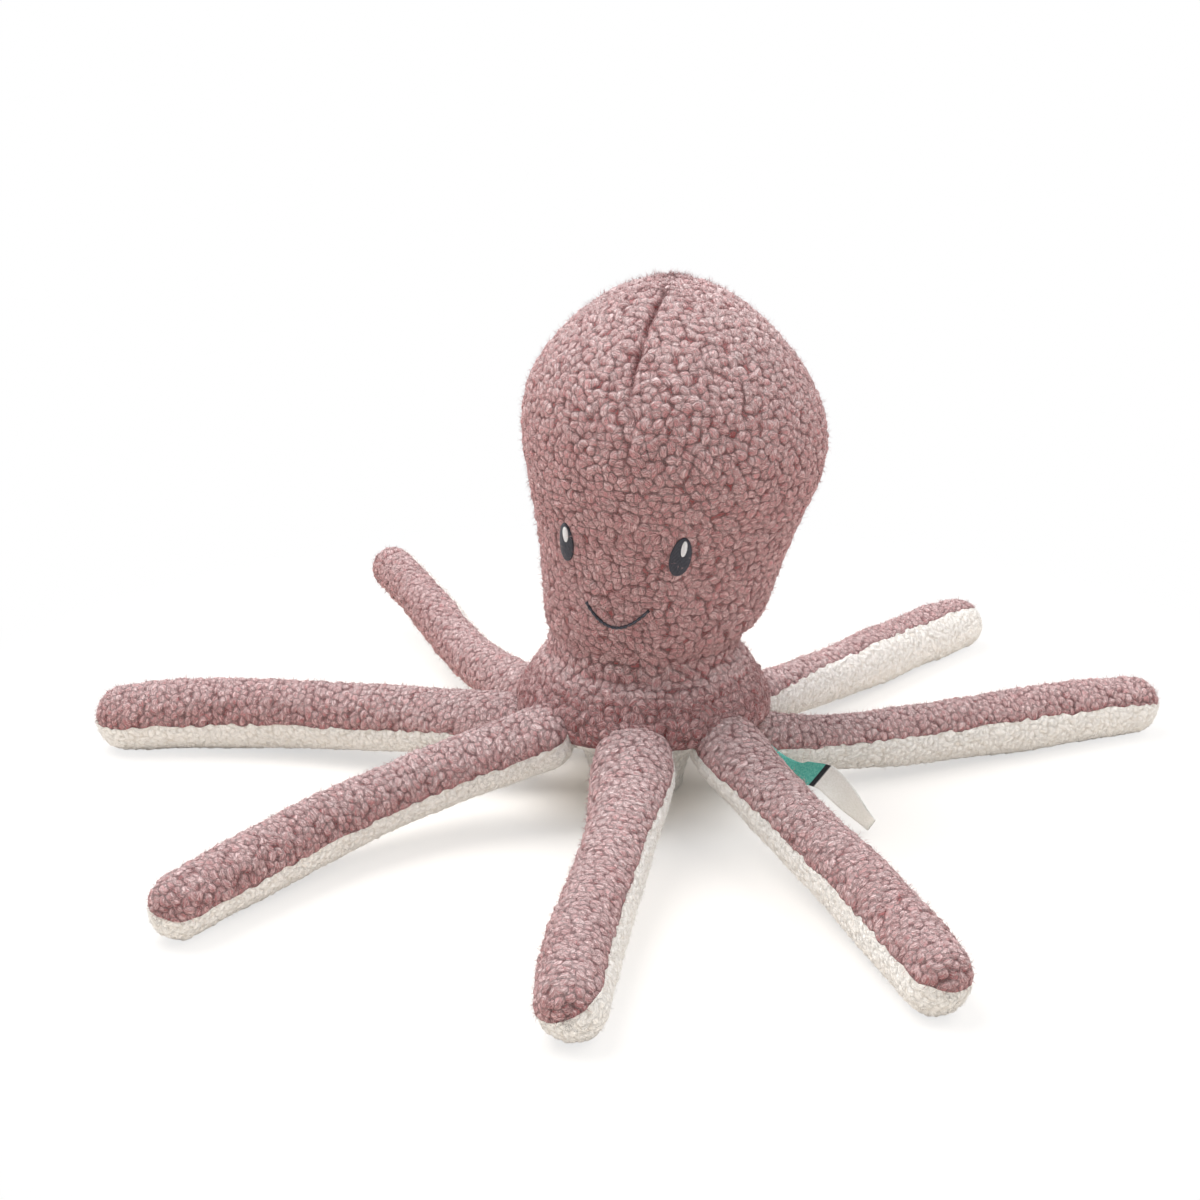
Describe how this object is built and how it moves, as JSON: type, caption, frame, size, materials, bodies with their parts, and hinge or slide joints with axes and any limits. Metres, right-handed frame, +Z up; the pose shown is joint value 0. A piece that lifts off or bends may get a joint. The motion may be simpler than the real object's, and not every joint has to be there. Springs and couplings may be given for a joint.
{
  "type": "plush octopus",
  "caption": "Soft plush octopus with a tall round head, an embroidered face and long limbs that spread out flat from its skirt and flop at their roots.",
  "frame": {"origin": "middle of the flat rest spot of the base, on the floor", "axes": "+Z up through the head, -Y the way the face looks, +X to the viewer's right of the face"},
  "size_m": [0.4584, 0.48, 0.238],
  "materials": {
    "rose_plush": "curly plush",
    "cream_plush": "soft sherpa plush",
    "filling": "loose polyester fibre",
    "rose_thread": "sewing thread",
    "charcoal_thread": "satin embroidery thread",
    "white_thread": "satin embroidery thread",
    "label_cloth": "woven satin ribbon"
  },
  "bodies": {
    "body": {"head_front_panel": "rose_plush", "head_back_panel": "rose_plush", "base_panel": "cream_plush", "body_filling": "filling", "left_eye": "charcoal_thread", "right_eye": "charcoal_thread", "left_eye_highlight": "white_thread", "right_eye_highlight": "white_thread", "smile": "charcoal_thread"},
    "front_right_root": {"front_right_root_stitching": "rose_thread"},
    "front_right_limb": {"front_right_top_panel": "rose_plush", "front_right_under_panel": "cream_plush", "front_right_filling": "filling"},
    "right_front_root": {"right_front_root_stitching": "rose_thread"},
    "right_front_limb": {"right_front_top_panel": "rose_plush", "right_front_under_panel": "cream_plush", "right_front_filling": "filling"},
    "right_back_root": {"right_back_root_stitching": "rose_thread"},
    "right_back_limb": {"right_back_top_panel": "rose_plush", "right_back_under_panel": "cream_plush", "right_back_filling": "filling"},
    "back_right_root": {"back_right_root_stitching": "rose_thread"},
    "back_right_limb": {"back_right_top_panel": "rose_plush", "back_right_under_panel": "cream_plush", "back_right_filling": "filling"},
    "back_left_root": {"back_left_root_stitching": "rose_thread"},
    "back_left_limb": {"back_left_top_panel": "rose_plush", "back_left_under_panel": "cream_plush", "back_left_filling": "filling"},
    "left_back_root": {"left_back_root_stitching": "rose_thread"},
    "left_back_limb": {"left_back_top_panel": "rose_plush", "left_back_under_panel": "cream_plush", "left_back_filling": "filling"},
    "left_front_root": {"left_front_root_stitching": "rose_thread"},
    "left_front_limb": {"left_front_top_panel": "rose_plush", "left_front_under_panel": "cream_plush", "left_front_filling": "filling"},
    "front_left_root": {"front_left_root_stitching": "rose_thread"},
    "front_left_limb": {"front_left_top_panel": "rose_plush", "front_left_under_panel": "cream_plush", "front_left_filling": "filling"},
    "label_strip": {"label": "label_cloth"}
  },
  "joints": [
    {"name": "front_right_swing", "type": "hinge", "parent": "body", "child": "front_right_root", "pos_m": [0.02181, -0.05266, 0.03726], "axis": [0, 0, 1], "range_deg": [-15, 15]},
    {"name": "front_right_lift", "type": "hinge", "parent": "front_right_root", "child": "front_right_limb", "pos_m": [0.02181, -0.05266, 0.03726], "axis": [-0.9239, -0.3827, 0], "range_deg": [-45, 45]},
    {"name": "right_front_swing", "type": "hinge", "parent": "body", "child": "right_front_root", "pos_m": [0.05266, -0.02181, 0.03645], "axis": [0, 0, 1], "range_deg": [-15, 15]},
    {"name": "right_front_lift", "type": "hinge", "parent": "right_front_root", "child": "right_front_limb", "pos_m": [0.05266, -0.02181, 0.03645], "axis": [-0.6088, -0.7934, 0], "range_deg": [-45, 45]},
    {"name": "right_back_swing", "type": "hinge", "parent": "body", "child": "right_back_root", "pos_m": [0.05266, 0.02181, 0.02214], "axis": [0, 0, 1], "range_deg": [-15, 15]},
    {"name": "right_back_lift", "type": "hinge", "parent": "right_back_root", "child": "right_back_limb", "pos_m": [0.05266, 0.02181, 0.02214], "axis": [0.5519, -0.8339, 0], "range_deg": [-45, 45]},
    {"name": "back_right_swing", "type": "hinge", "parent": "body", "child": "back_right_root", "pos_m": [0.02181, 0.05266, 0.02214], "axis": [0, 0, 1], "range_deg": [-15, 15]},
    {"name": "back_right_lift", "type": "hinge", "parent": "back_right_root", "child": "back_right_limb", "pos_m": [0.02181, 0.05266, 0.02214], "axis": [0.91, -0.4147, 0], "range_deg": [-45, 45]},
    {"name": "back_left_swing", "type": "hinge", "parent": "body", "child": "back_left_root", "pos_m": [-0.02181, 0.05266, 0.02295], "axis": [0, 0, 1], "range_deg": [-15, 15]},
    {"name": "back_left_lift", "type": "hinge", "parent": "back_left_root", "child": "back_left_limb", "pos_m": [-0.02181, 0.05266, 0.02295], "axis": [0.887, 0.4617, 0], "range_deg": [-45, 45]},
    {"name": "left_back_swing", "type": "hinge", "parent": "body", "child": "left_back_root", "pos_m": [-0.05266, 0.02181, 0.0243], "axis": [0, 0, 1], "range_deg": [-15, 15]},
    {"name": "left_back_lift", "type": "hinge", "parent": "left_back_root", "child": "left_back_limb", "pos_m": [-0.05266, 0.02181, 0.0243], "axis": [0.3827, 0.9239, 0], "range_deg": [-45, 45]},
    {"name": "left_front_swing", "type": "hinge", "parent": "body", "child": "left_front_root", "pos_m": [-0.05266, -0.02181, 0.02889], "axis": [0, 0, 1], "range_deg": [-15, 15]},
    {"name": "left_front_lift", "type": "hinge", "parent": "left_front_root", "child": "left_front_limb", "pos_m": [-0.05266, -0.02181, 0.02889], "axis": [0.0262, 0.9997, 0], "range_deg": [-45, 45]},
    {"name": "front_left_swing", "type": "hinge", "parent": "body", "child": "front_left_root", "pos_m": [-0.02181, -0.05266, 0.03915], "axis": [0, 0, 1], "range_deg": [-15, 15]},
    {"name": "front_left_lift", "type": "hinge", "parent": "front_left_root", "child": "front_left_limb", "pos_m": [-0.02181, -0.05266, 0.03915], "axis": [-0.5075, 0.8616, 0], "range_deg": [-45, 45]},
    {"name": "label_flap", "type": "hinge", "parent": "body", "child": "label_strip", "pos_m": [0.06033, -0.00279, 0.043], "axis": [-0.0698, -0.9976, 0], "range_deg": [-15, 40]}
  ]
}
